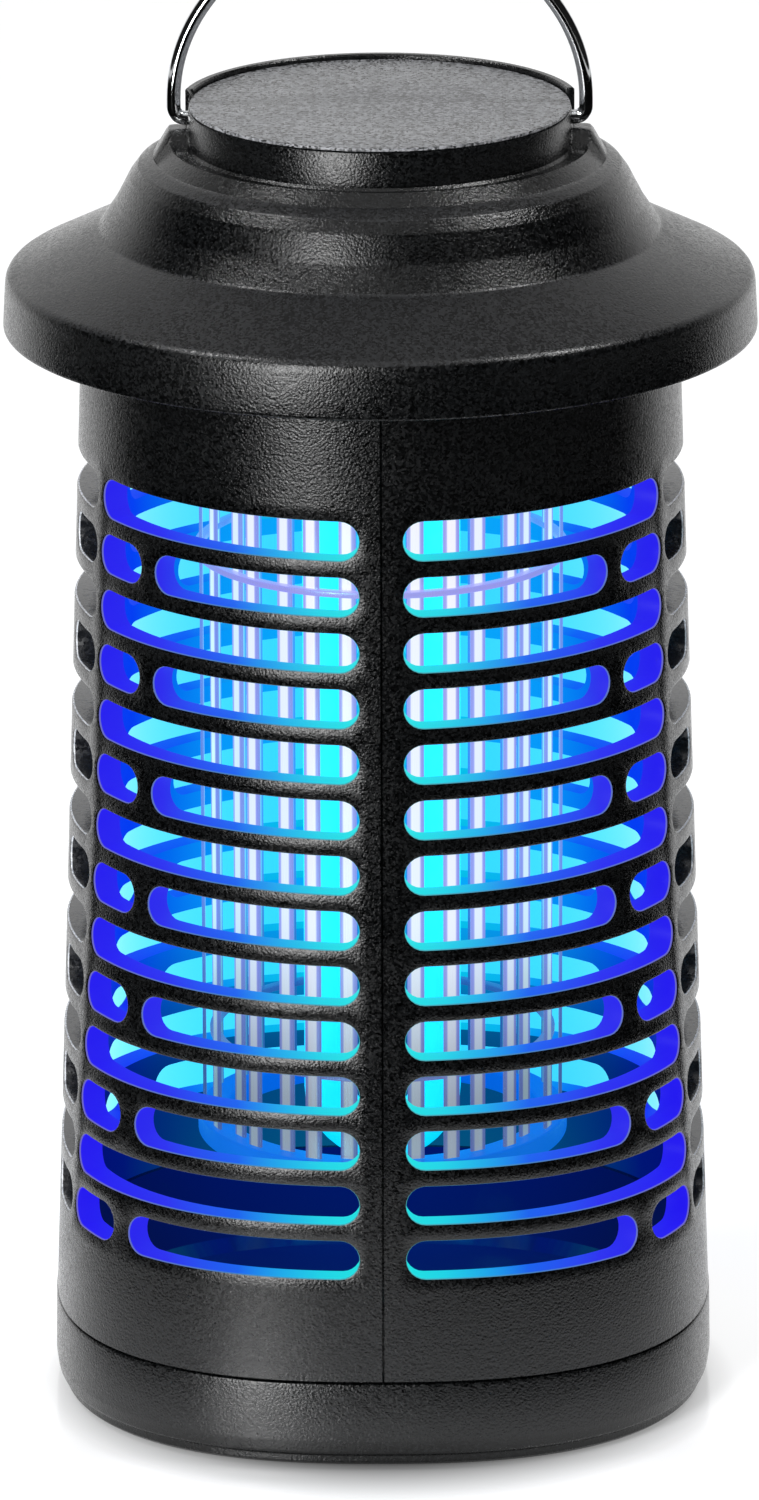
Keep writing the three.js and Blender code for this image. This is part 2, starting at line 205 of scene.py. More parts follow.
# %% [markdown]
# ## Plastic lit by the tube
# Inside the body the same black plastic faces a bright tube, and every slot's wall glows: cyan where
# it is near the seam, deep blue-violet towards the sides. The glow is painted light: emission whose
# colour comes from the place on the object alone, so it stays put from every side. How far a point is
# from the seam's plane picks the colour, and the height dims it towards the tray, as painted shade.


# %% Lit plastic
def lit_abs(name, stops, reach_mm, back_pull, strength, dim=None, roughness=0.5, specular=0.15):
    """ABS in the tube's light. stops run outwards from the seam's plane over reach_mm.

    dim gives a lower and an upper height, and the share of the strength left below the lower one.
    """
    made, tree, shader, place = new_finish(
        name, Base_Color=linear("#050508"), Roughness=roughness, Specular_IOR_Level=specular,
        Emission_Strength=strength)
    axes = add(tree, "SeparateXYZ", Vector=place)
    aside = add(tree, "Math", {"operation": "ABSOLUTE"}, n0=axes)
    behind = add(tree, "Math", {"operation": "MAXIMUM"}, n0=axes.outputs[1], n1=0.0)
    pulled = add(tree, "Math", {"operation": "MULTIPLY_ADD"}, n0=behind,
                 n1=-back_pull, n2=aside)
    along = add(tree, "Math", {"operation": "DIVIDE", "use_clamp": True},
                n0=pulled, n1=reach_mm * MM)
    feed(shader, Emission_Color=ramp(tree, along, stops))
    if dim:
        low, high, least = dim
        feed(shader, Emission_Strength=add(
            tree, "MapRange", {"interpolation_type": "SMOOTHSTEP"}, Value=axes.outputs[2],
            n1=low * MM, n2=high * MM, n3=strength * least, n4=strength))
    return made


LIT_SLOT = lit_abs("abs_lit_slot_wall", [(0.0, "#22ecdf"), (0.2, "#1fd6e6"), (0.48, "#1a62f0"),
                                         (0.72, "#2f2df2"), (1.0, "#2418f5")], 70, 0.25, 0.95)
LIT_INNER = lit_abs("abs_lit_inside", [(0.0, "#5be2ff"), (0.4, "#38c0ff"), (0.62, "#1683f5"),
                                       (0.8, "#0b3df8"), (1.0, "#1a1ef5")], 66, 0.2, 0.9, (50, 100, 0.18))
# The window rims get a painted highlight: a thin line of the tube's light, cyan to lilac.
EDGE_PAINTED_HIGHLIGHT = lit_abs("abs_lit_edge", [(0.0, "#5ff0ea"), (0.5, "#5fa5f5"), (1.0, "#8f86ff")], 70, 0.0, 0.55)

# %% [markdown]
# ## Metals, glass, rubber and the plain plastics
# Chrome plating is nearly a mirror with a metallic value of 1 and the default IOR. The plain plastics
# have a slight cloud in their colour. The tube is phosphor-coated glass, an even cyan glow.


# %% Other finishes
def metal(name, colour, roughness):
    """A plated or bright metal, whose gloss varies over patches of about 6 mm."""
    made, tree, shader, place = new_finish(name, Metallic=1.0, Base_Color=linear(colour))
    noise = add(tree, "TexNoise", Vector=place, Scale=1 / (6 * MM))
    gloss = add(tree, "MapRange", Value=noise, n1=0.3, n2=0.7,
                n3=roughness * 0.7, n4=roughness * 1.4)
    feed(shader, Roughness=gloss)
    return made


def plain(name, colour, roughness, speckle=0.08, glow=None, glow_strength=0.0):
    """A moulded or dipped part: even colour with a slight cloud in it and a fine surface."""
    made, tree, shader, place = new_finish(name, Roughness=roughness)
    cloud = add(tree, "TexNoise", Vector=place, Scale=180.0, Detail=3.0)
    shift = add(tree, "MapRange", Value=cloud, n1=0.3, n2=0.7,
                n3=1 - speckle, n4=1 + speckle)
    shade = add(tree, "Mix", {"data_type": "RGBA", "blend_type": "MULTIPLY"},
                n0=1.0, n6=linear(colour), n7=shift)
    fine = add(tree, "TexNoise", Vector=place, Scale=2500.0)
    bump = add(tree, "Bump", Height=fine, Distance=0.01 * MM, Strength=0.5)
    feed(shader, Base_Color=shade.outputs[2], Normal=bump)
    if glow:
        feed(shader, Emission_Color=linear(glow), Emission_Strength=glow_strength)
    return made


CHROME = metal("chrome_wire", "#e6e8ea", 0.07)
SCREW_STEEL = metal("screw_steel", "#a9acb0", 0.3)
WHITE_PP = plain("white_polypropylene", "#dfe4ee", 0.45)
# Painted light: the white insulator ring is tinted and glows blue for the tube's light on it.
RING_PAINTED_BLUE_LIGHT = plain("insulator_in_blue_light", "#27408a", 0.4, glow="#1f7fe0", glow_strength=0.75)
RUBBER = plain("soft_rubber", "#131313", 0.8)
FIBREGLASS = plain("solder_mask_green", "#1c5c37", 0.35, 0.2)
FERRITE = plain("ferrite_and_tape", "#333235", 0.6)
CAPACITOR = plain("dipped_blue", "#254a9c", 0.3)
EPOXY = plain("moulded_epoxy", "#1b1b1c", 0.3)
LACQUER = plain("tan_lacquer", "#c4a071", 0.35)
PHOSPHOR = plain("phosphor_tube", "#bdf3ff", 0.2, glow="#12f2ff", glow_strength=0.95)
# Painted light: the tray's inside glows navy for the tube's light that falls into it.
TRAY_INSIDE_PAINTED_LIGHT = lit_abs("abs_tray_inside", [(0.0, "#0b2f9c"), (0.5, "#0a2a8f"), (1.0, "#0a1a6a")],
                      75, 0.0, 0.3, roughness=0.08, specular=0.6)

# %% [markdown]
# The strips are zinc plated steel, rolled, so faint lines run along them, and right beside the tube
# they catch its light, which is painted on as a glow: bright in the middle as a painted highlight and
# lilac at the rolled edges, and weaker lower down. The mesh carries how far across a point is, in an
# attribute named "across" from 0 to 1.

# %% Strip finish
STRIP_PAINTED_GLOW, tree, shader, place = new_finish("zinc_strip_by_the_tube", Metallic=1.0, Base_Color=linear("#6f7078"))
across = add(tree, "Attribute", {"attribute_name": "across"}).outputs["Fac"]
# Painted highlight across each strip: pale in the middle, lilac at the rolled edges.
colour = ramp(tree, across, [(0.0, "#a07cb0"), (0.16, "#b08cba"), (0.25, "#ffc8c5"),
                             (0.70, "#ffc8c5"), (0.80, "#a884b6"), (1.0, "#8f74aa")])
height = add(tree, "SeparateXYZ", Vector=place).outputs[2]
# Painted shade: the strips' glow is weaker lower down.
dim = add(tree, "MapRange", {"interpolation_type": "SMOOTHSTEP"}, Value=height,
          n1=70 * MM, n2=125 * MM, n3=0.62, n4=1.7)
mapped = add(tree, "Mapping", Vector=place, Scale=(1.0, 1.0, 0.02))
lines = add(tree, "TexNoise", Vector=mapped, Scale=1 / (0.5 * MM))
gloss = add(tree, "MapRange", Value=lines, n1=0.3, n2=0.7, n3=0.2, n4=0.4)
feed(shader, Emission_Color=colour, Emission_Strength=dim, Roughness=gloss)

# %% [markdown]
# ## Mesh helpers
# Most of the object is turned: a profile swept round the axis. The helper takes the profile as a
# function of the angle, so that one sweep can carry a saddle or a half rim that stands on only part
# of the way round, and the result is still a single closed skin.


# %% Mesh helpers
def make_mesh(name, points, faces, finishes, which=None, sharp=32):
    """A mesh object from millimetre points. which gives each face's place in finishes."""
    data = bpy.data.meshes.new(name)
    data.from_pydata([Vector(p) * MM for p in points], [], faces)
    for finish in finishes:
        data.materials.append(finish)
    if which:
        data.polygons.foreach_set("material_index", which)
    made = new_object(name, data)
    mesh = bmesh.new()
    mesh.from_mesh(data)
    bmesh.ops.remove_doubles(mesh, verts=mesh.verts, dist=1e-6)
    bmesh.ops.dissolve_degenerate(mesh, edges=mesh.edges, dist=1e-7)
    bmesh.ops.recalc_face_normals(mesh, faces=mesh.faces)
    mesh.to_mesh(data)
    mesh.free()
    data.polygons.foreach_set("use_smooth", [True] * len(data.polygons))
    data.set_sharp_from_angle(angle=radians(sharp))
    return made


def join(name, *parts):
    """Joins objects into the first one's mesh and names it."""
    bpy.ops.object.select_all(action="DESELECT")
    for part in parts:
        part.select_set(True)
    bpy.context.view_layer.objects.active = parts[0]
    bpy.ops.object.join()
    parts[0].name = parts[0].data.name = name
    return parts[0]


def rounded(profile, steps=4):
    """Replaces each (r, z, radius) corner with an arc, and keeps (r, z) corners sharp."""
    result = []
    count = len(profile)
    for i, corner in enumerate(profile):
        here = Vector(corner[:2])
        if len(corner) == 2 or corner[2] == 0:
            result.append(here)
            continue
        before = Vector(profile[i - 1][:2]) - here
        after = Vector(profile[(i + 1) % count][:2]) - here
        half = before.angle(after) / 2
        back = min(corner[2] / tan(half), before.length * 0.49, after.length * 0.49)
        start, end = here + before.normalized() * back, here + after.normalized() * back
        for k in range(steps + 1):
            t = k / steps
            result.append(start * (1 - t) ** 2 + here * 2 * t * (1 - t) + end * t * t)
    return result


def turn(name, profile_at, angles, finishes, which=None, plan=None, sharp=32):
    """Sweeps profile_at(angle), a closed list of (r, z), round Z. Angles are degrees from the front."""
    points, faces, kinds = [], [], []
    for angle in angles:
        a = radians(angle)
        for r, z in profile_at(angle):
            k = plan(a, z) if plan else 1.0
            points.append((r * k * sin(a), -r * k * cos(a), z))
    count = len(profile_at(angles[0]))
    for i in range(len(angles)):
        here, there = i * count, (i + 1) % len(angles) * count
        for j in range(count):
            n = (j + 1) % count
            faces.append((here + j, there + j, there + n, here + n))
            kinds.append(which[j] if which else 0)
    return make_mesh(name, points, faces, finishes, kinds, sharp)


def even_angles(count):
    return [360 * i / count for i in range(count)]


def skin(rings, sides):
    """The faces of a closed bar through so many rings of so many points."""
    faces = []
    for here in range(0, (rings - 1) * sides, sides):
        for k in range(sides):
            n = (k + 1) % sides
            faces.append((here + k, here + n, here + sides + n, here + sides + k))
    return [*faces, tuple(reversed(range(sides))), tuple((rings - 1) * sides + k for k in range(sides))]


def tube(name, path, radius, sides, finish):
    """A round bar along a list of points, with domed ends."""
    path = [Vector(p) for p in path]
    ends = zip([path[0], *path], [*path[1:], path[-1]])
    tangents = [(after - before).normalized() for before, after in ends]
    side = tangents[0].orthogonal().normalized()
    rings = []
    for spot, tangent in zip(path, tangents):
        side = (side - tangent * side.dot(tangent)).normalized()
        rings.append((spot, tangent, side, 1.0))
    dome = [(sin(t), cos(t)) for t in (0.35, 0.75, 1.15)]
    first, last = rings[0], rings[-1]
    start = [(first[0] - first[1] * radius * c * 0.5, *first[1:3], s) for s, c in dome]
    end = [(last[0] + last[1] * radius * c * 0.5, *last[1:3], s) for s, c in reversed(dome)]
    rings = start + rings + end
    turns = [2 * pi * k / sides for k in range(sides)]
    points = [spot + (side * cos(a) + tangent.cross(side) * sin(a)) * radius * scale
              for spot, tangent, side, scale in rings for a in turns]
    return make_mesh(name, points, skin(len(rings), sides), [finish], sharp=60)


# %% [markdown]
# ## The body's plan
# Looked at from above, the body is a circle near the brim and a soft square near the ground. A
# superellipse does that with one number: an exponent of 2 is a circle, and a larger one is squarer.

# %% Plan shape
SQUARE_BELOW, SQUARE_OVER, SQUARENESS = 150, 130, 0.5
BODY_TAPER = 0.0333
BODY_R0 = 77.9


def plan(angle, z):
    """How much farther out than the mid-side radius the wall is, at an angle in radians."""
    t = min(1, max(0, (SQUARE_BELOW - z) / SQUARE_OVER))
    n = 2 + SQUARENESS * t * t * (3 - 2 * t)
    return (abs(sin(angle)) ** n + abs(cos(angle)) ** n) ** (-1 / n)


def body_r(z):
    return BODY_R0 - BODY_TAPER * z


# %% [markdown]
# ## Cap
# One moulding: skirt, brim, bell neck, shoulder, groove and turret. The profile has the same number
# of points all the way round, and two of its stretches change with the angle. At the sides the
# groove's floor lifts into a saddle under the bail's hook, and behind, the turret's wall grows a
# half rim. The grain alternates: skirt, neck and turret are grained, and the slopes are satin.

# %% Cap
TURRET_R, TURRET_TOP, GROOVE_Z = 44.2, 305.8, 297.0
RIM_R, RIM_FROM, RIM_EASE = 46.3, 103, 0.7
SADDLE_TOP = PIVOT.z - WIRE / 2 - 0.5
SADDLE_FLAT, SADDLE_EASE = 3.0, 9.0


def ease(t):
    t = min(1, max(0, t))
    return t * t * (3 - 2 * t)


def cap_profile(angle):
    off_front = min(angle, 360 - angle)
    rim = ease((off_front - RIM_FROM) / RIM_EASE + 0.5)
    saddle = ease((SADDLE_FLAT + SADDLE_EASE - abs(off_front - 90)) / SADDLE_EASE)

    def blend(low, high, t):
        return low[0] + (high[0] - low[0]) * t, low[1] + (high[1] - low[1]) * t

    outside = rounded([
        (BRIM_R - 2.4, BRIM_BOTTOM, 0.5), (BRIM_R, BRIM_BOTTOM, 1.1), (BRIM_R - 0.7, 267.2, 3.6),
        (65.2, 277.8, 1.8), (61.2, 283.8, 5), (57.9, 290.2, 2.2), (55.8, 293.0, 1.6), (51.5, 295.8, 0.8),
    ])
    lip = blend((48.5, 297.6), (49.4, SADDLE_TOP - 1.0), saddle)
    lip_in = blend((48.0, 297.3), (48.7, SADDLE_TOP - 0.2), saddle)
    floor_out = blend((47.8, GROOVE_Z), (47.6, SADDLE_TOP), saddle)
    rise = blend((TURRET_R + 0.6, GROOVE_Z), (TURRET_R + 0.3, SADDLE_TOP), saddle)
    foot = blend((TURRET_R, GROOVE_Z + 0.6), (TURRET_R, SADDLE_TOP + 0.2), saddle)
    rise, foot = blend(rise, (RIM_R + 0.5, GROOVE_Z), rim), blend(foot, (RIM_R, GROOVE_Z + 0.5), rim)
    turret = [
        blend((TURRET_R, TURRET_TOP - 0.3), (RIM_R, RIM_TOP - 0.4), rim),
        blend((TURRET_R - 0.1, TURRET_TOP - 0.1), (RIM_R - 0.35, RIM_TOP), rim),
        blend((TURRET_R - 0.3, TURRET_TOP), (TURRET_R + 0.45, RIM_TOP), rim),
        blend((TURRET_R - 0.35, TURRET_TOP), (TURRET_R + 0.15, RIM_TOP - 0.4), rim),
        blend((TURRET_R - 0.4, TURRET_TOP), (TURRET_R + 0.1, TURRET_TOP), rim),
    ]
    inside = [
        (40.4, TURRET_TOP), (40.4, 295.4), (46.5, 294.6), (50.4, 292.6), (53.6, 290), (54.8, 287),
        (56.6, 281.6), (57.6, 277.2), (61, 274.6), (61, BODY_TOP + 0.3), (63.4, BODY_TOP + 0.3),
        (63.4, 273.3), (84.4, 262),
    ]
    return [*outside, lip, lip_in, floor_out, rise, foot, *turret, *inside]


def cap_finishes():
    """Grained or satin for each stretch of the profile, by the height where it starts."""
    kinds = []
    shape = [tuple(p) for p in cap_profile(0)]
    for (r0, z0), (r1, z1) in zip(shape, shape[1:] + shape[:1]):
        middle = (z0 + z1) / 2
        slope = 66.5 < (r0 + r1) / 2 < 86.2 and middle > 264 or 276 < middle < 279.5
        band = 292.6 < middle < 295.6
        kinds.append(1 if slope or band else 0)
    return kinds


side_steps = [SADDLE_FLAT + SADDLE_EASE * k / 10 for k in range(11)]
rim_steps = [RIM_FROM + RIM_EASE * (k / 4 - 0.5) for k in range(5)]
special = {90 + s * d for s in (-1, 1) for d in side_steps} | set(rim_steps)
cap_angles = sorted({round(a, 3) for a in [*even_angles(180), *special, *(360 - a for a in special)]})
cap = turn("cap_shell_moulding", cap_profile, cap_angles, [GRAINED, SATIN], cap_finishes(), sharp=28)
print("cap:", len(cap.data.polygons), "faces")

# %% [markdown]
# The bosses that take the ceiling's screws hang from the shoulder inside, out of sight until the
# thing is taken apart. The two holes for the bail's hooks and the lead's hole are cut with a boolean,
# which is the plain way to put a round hole through a turned wall.

# %% Cap holes and bosses
BOSS_AT = 35


def cylinder(name, radius, z0, z1, sides, finish, at=(0, 0), bevel=0.0):
    """An upright drum with bevelled ends."""
    shape = [(radius - bevel, z0), (radius, z0 + bevel), (radius, z1 - bevel), (radius - bevel, z1)]
    rings = [(AXIS, z0), *shape, (AXIS, z1)]
    made = turn(name, lambda _: rings, even_angles(sides), [finish])
    made.data.transform(Matrix.Translation((at[0] * MM, at[1] * MM, 0)))
    return made


def cut_or_add(target, other, operation):
    """Applies one boolean and removes the helper object."""
    step = target.modifiers.new("cut", "BOOLEAN")
    step.operation, step.object, step.solver = operation, other, "EXACT"
    result = bpy.data.meshes.new_from_object(target.evaluated_get(bpy.context.evaluated_depsgraph_get()))
    target.modifiers.remove(step)
    target.data = result
    bpy.data.objects.remove(other)


for side in (-1, 1):
    hole = cylinder("hole", WIRE / 2 + 0.25, -3, 3, 24, GRAINED)
    hole.data.transform(Matrix.Rotation(radians(90), 4, "Y"))
    hole.data.transform(Matrix.Translation(Vector((side * (TURRET_R - 1.2), 0, PIVOT.z)) * MM))
    cut_or_add(cap, hole, "DIFFERENCE")
lead_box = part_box("cord_gland")
lead_z = (lead_box[0].z + lead_box[1].z) / 2 / MM
lead_hole = cylinder("hole", 5.0, -8, 8, 32, GRAINED)
lead_hole.data.transform(Matrix.Rotation(radians(90), 4, "X"))
lead_hole.data.transform(Matrix.Translation(Vector((0, 58, lead_z)) * MM))
cut_or_add(cap, lead_hole, "DIFFERENCE")
bosses = [cylinder("boss", 3.6, 262, 291, 20, GRAINED, (x, y), 0.3) for x in (-BOSS_AT, BOSS_AT)
          for y in (-BOSS_AT, BOSS_AT)]
cap = join("cap_shell_moulding", cap, *bosses)
cap.data.set_sharp_from_angle(angle=radians(28))

# %% [markdown]
# ## Disc on the turret
# A lighter grey plate with a broken edge, set down into the turret. Its spigot keeps it centred.

# %% Disc
disc_profile = rounded([
    (AXIS, 305.4), (38.6, 305.4), (38.6, 303.2), (40, 303.2), (40, TURRET_TOP + 0.3),
    (TURRET_R - 0.3, TURRET_TOP + 0.3), (TURRET_R - 0.2, DISC_TOP, 0.35), (AXIS, DISC_TOP),
])
disc = turn("turret_disc", lambda _: disc_profile, even_angles(144), [DISC_GREY])

# %% [markdown]
# ## Bail
# One length of chromed wire. Its ends hook inwards and turn in the turret's wall. The path is an
# arc for each hook, a short straight leg and a half-ellipse.

# %% Bail
BAIL_HALF, BAIL_LEG, BAIL_RISE, BAIL_BEND = 47.6, 4.4, 42.2, 2.6
hook = [(BAIL_HALF - BAIL_BEND + BAIL_BEND * sin(t), PIVOT.z + BAIL_BEND * (1 - cos(t)))
        for t in [pi / 2 * k / 8 for k in range(9)]]
arc = [(BAIL_HALF * cos(t), PIVOT.z + BAIL_LEG + BAIL_RISE * sin(t))
       for t in [pi * k / 72 for k in range(73)]]
right_side = [(41.4, PIVOT.z), *hook]
wire_path = right_side + arc + [(-x, z) for x, z in reversed(right_side)]
bail = tube("bail_wire", [(x, 0, z) for x, z in wire_path], WIRE / 2, 20, CHROME)
print("bail:", len(bail.data.polygons), "faces")

# %% [markdown]
# ## Grille halves
# The body is two mirror-image mouldings that meet at the front and the back. Each is a curved wall
# with 14 rows of rounded windows: long rows and short rows take turns. A boolean could cut the
# windows, but their edges would be knife sharp. Here the wall is drawn flat, as angle and height, with
# the windows as loops in it, and a Delaunay triangulation fills the rest. Every loop is then bent
# round the body three times: at the surface, at the foot of a small rounding, and at the inner face.
# That gives each window a rolled rim and a deep wall, each with its own finish.

# %% Windows
ROWS, ROW_TOP, ROW_PITCH, WINDOW_HIGH = 14, 226.0, 13.12, 9.1
LONG_ROW = [(4.1, 65.0), (67.6, 112.4), (115.0, 175.9)]
SHORT_ROW = [(4.1, 47.0), (51.0, 65.3), (67.6, 82.5), (97.5, 112.4), (114.7, 129.0), (133.0, 175.9)]
RIM, WALL, SLAT_DEPTH = 0.5, 3.0, 6.0
SLATS = (40.0, 234.0)
SEAM_HALF, SEAM_CHAMFER = 0.15, 0.18
STEP_DEG = 2.5


def degrees_of(length, z):
    """The angle that a length in millimetres spans on the wall at height z."""
    return degrees(length / body_r(z))


def window_loop(start, stop, low, high, grow):
    """A window with half-round ends, as (angle, z) points, made larger all round by grow."""
    mid, radius = (low + high) / 2, (high - low) / 2
    end = degrees_of(radius, mid)
    wide, tall = degrees_of(radius + grow, mid), radius + grow
    straight = max(2, round((stop - start - 2 * end) / STEP_DEG))
    loop = [(start + end + (stop - start - 2 * end) * k / straight, mid - tall) for k in range(straight)]
    arc = [pi * k / 12 for k in range(12)]
    loop += [(stop - end + wide * sin(t), mid - tall * cos(t)) for t in arc]
    loop += [(stop - end - (stop - start - 2 * end) * k / straight, mid + tall) for k in range(straight)]
    loop += [(start + end - wide * sin(t), mid + tall * cos(t)) for t in arc]
    return loop


def wall_depth(z):
    """The moulding is 3 mm thick, and 6 mm where the slats are."""
    inside = min(z - (SLATS[0] - 3), SLATS[1] + 3 - z)
    return WALL + (SLAT_DEPTH - WALL) * min(1, max(0, inside / 3))


WINDOWS = []
for row in range(ROWS):
    top = ROW_TOP - ROW_PITCH * row
    WINDOWS += [(a, b, top - WINDOW_HIGH, top) for a, b in (SHORT_ROW if row % 2 else LONG_ROW)]
print("windows in a half:", len(WINDOWS))


# %% [markdown]
# Extra points are sprinkled in the solid parts, so that the triangles follow the wall's curve. The
# triangulation returns, for each triangle, the loops that it lies in, and those in a window go.

# %% Grille halves
EDGE_LOW, EDGE_HIGH = BODY_BOTTOM, BODY_TOP
FIRST, LAST = degrees_of(SEAM_HALF, 150), 180 - degrees_of(SEAM_HALF, 150)
RISERS = 56


def border_loop(inset):
    """The outline of a half's wall, anticlockwise, inset by a length."""
    a0, a1 = FIRST + degrees_of(inset, 150), LAST - degrees_of(inset, 150)
    z0, z1 = EDGE_LOW + inset, EDGE_HIGH - inset
    across, up = round(180 / STEP_DEG), RISERS
    loop = [(a0 + (a1 - a0) * k / across, z0) for k in range(across)]
    loop += [(a1, z0 + (z1 - z0) * k / up) for k in range(up)]
    loop += [(a1 - (a1 - a0) * k / across, z1) for k in range(across)]
    return loop + [(a0, z1 - (z1 - z0) * k / up) for k in range(up)]


def fillers():
    """Points on a grid that lie in no window."""
    found = []
    for level in range(1, RISERS):
        z = EDGE_LOW + (EDGE_HIGH - EDGE_LOW) * level / RISERS
        near = [w for w in WINDOWS if w[2] - 1.4 < z < w[3] + 1.4]
        for k in range(1, round(180 / STEP_DEG)):
            angle = k * STEP_DEG
            if not any(a - 1.2 < angle < b + 1.2 for a, b, _, _ in near):
                found.append((angle, z))
    return found


def fill_wall(border, loops, extra):
    """Triangulates the border's inside less the loops. The points come back in the same order."""
    flat = [*border, *(p for loop in loops for p in loop), *extra]
    points = [Vector((a * 1.28, z)) for a, z in flat]
    faces, start = [list(range(len(border)))], len(border)
    for loop in loops:
        faces.append(list(range(start, start + len(loop))))
        start += len(loop)
    out, _, triangles, verts_from, _, in_faces = delaunay_2d_cdt(points, [], faces, 1, 1e-5)
    names = [group[0] for group in verts_from]
    kept = [t for t, inside in zip(triangles, in_faces) if list(inside) == [0]]
    return flat, [tuple(names[v] for v in t) for t in kept]


def on_wall(angle, z, depth, side):
    radius = body_r(z) * plan(radians(angle), z) - depth
    x, y = radius * sin(radians(angle)), -radius * cos(radians(angle))
    if angle <= FIRST or angle >= LAST:
        x = SEAM_HALF
    return side * x, y, z


def build_half(name, side):
    extra = fillers()
    borders = [border_loop(SEAM_CHAMFER), border_loop(0.0), border_loop(0.0)]
    cuts = [[window_loop(*w, grow) for w in WINDOWS] for grow in (RIM, RIM * 0.3, 0.0, 0.0)]
    outer, outer_faces = fill_wall(borders[0], cuts[0], extra)
    inner, inner_faces = fill_wall(borders[2], cuts[3], extra)
    points = [on_wall(a, z, 0.0, side) for a, z in outer]
    faces, kinds = list(outer_faces), [0] * len(outer_faces)
    inner_start = len(points)
    points += [on_wall(a, z, wall_depth(z), side) for a, z in inner]
    faces += [tuple(inner_start + v for v in face) for face in inner_faces]
    kinds += [3] * len(inner_faces)

    def ring(count, first, second, kind):
        for k in range(count):
            n = (k + 1) % count
            faces.append((first + k, first + n, second + n, second + k))
            kinds.append(kind)

    base = len(points)
    points.extend(on_wall(a, z, SEAM_CHAMFER, side) for a, z in borders[1])
    ring(len(borders[0]), 0, base, 0)
    ring(len(borders[0]), base, inner_start, 0)
    offset = len(borders[0])
    for i, window in enumerate(WINDOWS):
        count = len(cuts[0][i])
        lit = window[0] < 60 or window[1] > 120
        rim = len(points)
        points.extend(on_wall(a, z, RIM * 0.3, side) for a, z in cuts[1][i])
        foot = len(points)
        points.extend(on_wall(a, z, RIM, side) for a, z in cuts[2][i])
        ring(count, offset, rim, 0)
        ring(count, rim, foot, 1 if lit else 5)
        ring(count, foot, inner_start + offset, 2 if lit else 4)
        offset += count
    finishes = [GRAINED, EDGE_PAINTED_HIGHLIGHT, LIT_SLOT, LIT_INNER, SIDE_WALL, SIDE_RIM_PAINTED_HIGHLIGHT]
    return make_mesh(name, points, faces, finishes, kinds, 30)


# %% [markdown]
# The windows at the sides are turned away from the tube's glow, and show only gloss. Their walls get
# a smoother black, and their rims a light grey that is a painted highlight. Each half also has a
# flange that turns in under the cap, and the right one has a lap behind each seam.

# %% Seam laps
LAP_HALF, LAP_THICK = 2.2, 0.8


def seam_lap(angle):
    """A strip behind a seam, which keeps the light in. It is part of the right half."""
    points, levels = [], [22.5, 30, 37, 40, *range(50, 231, 20), 234, 237, 250, 261.5]
    a = radians(angle)
    sign = -cos(a)
    for z in levels:
        back = body_r(z) * plan(a, z) - wall_depth(z) - 0.1
        points += [(-LAP_HALF, sign * back, z), (LAP_HALF, sign * (back + 0.2), z),
                   (LAP_HALF, sign * (back - LAP_THICK), z), (-LAP_HALF, sign * (back - LAP_THICK), z)]
    return make_mesh("seam_lap", points, skin(len(levels), 4), [GRAINED])


# %% Build the halves
SIDE_WALL = moulded_abs("abs_polished_side_wall", "#1c1d20", 0.11, 0.9, 0.02)
# Painted highlight: the side windows' rims are light grey, for the gloss on their rolled edges.
SIDE_RIM_PAINTED_HIGHLIGHT = moulded_abs("abs_rubbed_side_rim", "#c2c4c8", 0.22, 0.9, 0.01)
FLANGE = [(58.5, BODY_TOP - 2.4), (67.6, BODY_TOP - 2.4), (67.6, BODY_TOP - 0.1), (58.5, BODY_TOP - 0.1)]
halves = {}
for node, side in (("grille_right", 1), ("grille_left", -1)):
    half = build_half(node + "_moulding", side)
    arc = [radians(side * (FIRST + (LAST - FIRST) * k / 60)) for k in range(61)]
    points = [(r * sin(a), -r * cos(a), z) for a in arc for r, z in FLANGE]
    flange = make_mesh("flange", points, skin(len(arc), 4), [GRAINED])
    laps = [seam_lap(angle) for angle in (0, 180)] if side == 1 else []
    halves[node] = join(node + "_moulding", half, flange, *laps)
    print(node, len(halves[node].data.polygons), "faces")

# %% [markdown]
# ## Tray
# The base pulls down and off to empty it. It is one turned moulding with the body's squarish plan: a
# foot ring, a rounded lower edge, a wall, and a spigot that plugs into the body. Its inside has
# painted light from the tube.

# %% Tray
PARTING = BODY_BOTTOM - 0.3
tray_outside = [
    (68.8, 1.6), (69.4, 0.5), (74.8, 0.5, 0.5), (75.9, 1.4, 0.6), (75.9, 3.0, 0.5),
    (TRAY_R - 0.4, 3.9, 1.2), (TRAY_R, 7.0, 2.0), (TRAY_R - 0.2, PARTING - 0.9),
    (TRAY_R - 0.4, PARTING - 0.3), (TRAY_R - 0.9, PARTING), (73.7, PARTING),
    (73.5, PARTING + 6.8), (73.1, PARTING + 7.4),
]
tray_inside = [(71.8, PARTING + 7.4), (71.8, 12), (71.6, 7.4), (69.0, 4.5), (AXIS, 4.4), (AXIS, 1.6)]
tray_profile = rounded(tray_outside + tray_inside)
tray_kinds = [0] * (len(tray_profile) - 6) + [1, 1, 1, 1, 0, 0]
tray = turn("collection_tray_moulding", lambda _: tray_profile, even_angles(180), [GRAINED, TRAY_INSIDE_PAINTED_LIGHT],
            tray_kinds, plan)
print("tray:", len(tray.data.polygons), "faces")

# %% [markdown]
# ## What repeats
# Strips, screws and feet repeat, so Geometry Nodes make them. A small class builds a tree: it adds
# nodes, declares named inputs, and applies the tree to a mesh object with the values given. The
# evaluated result is copied to a plain mesh, and the modifier goes away with its object.


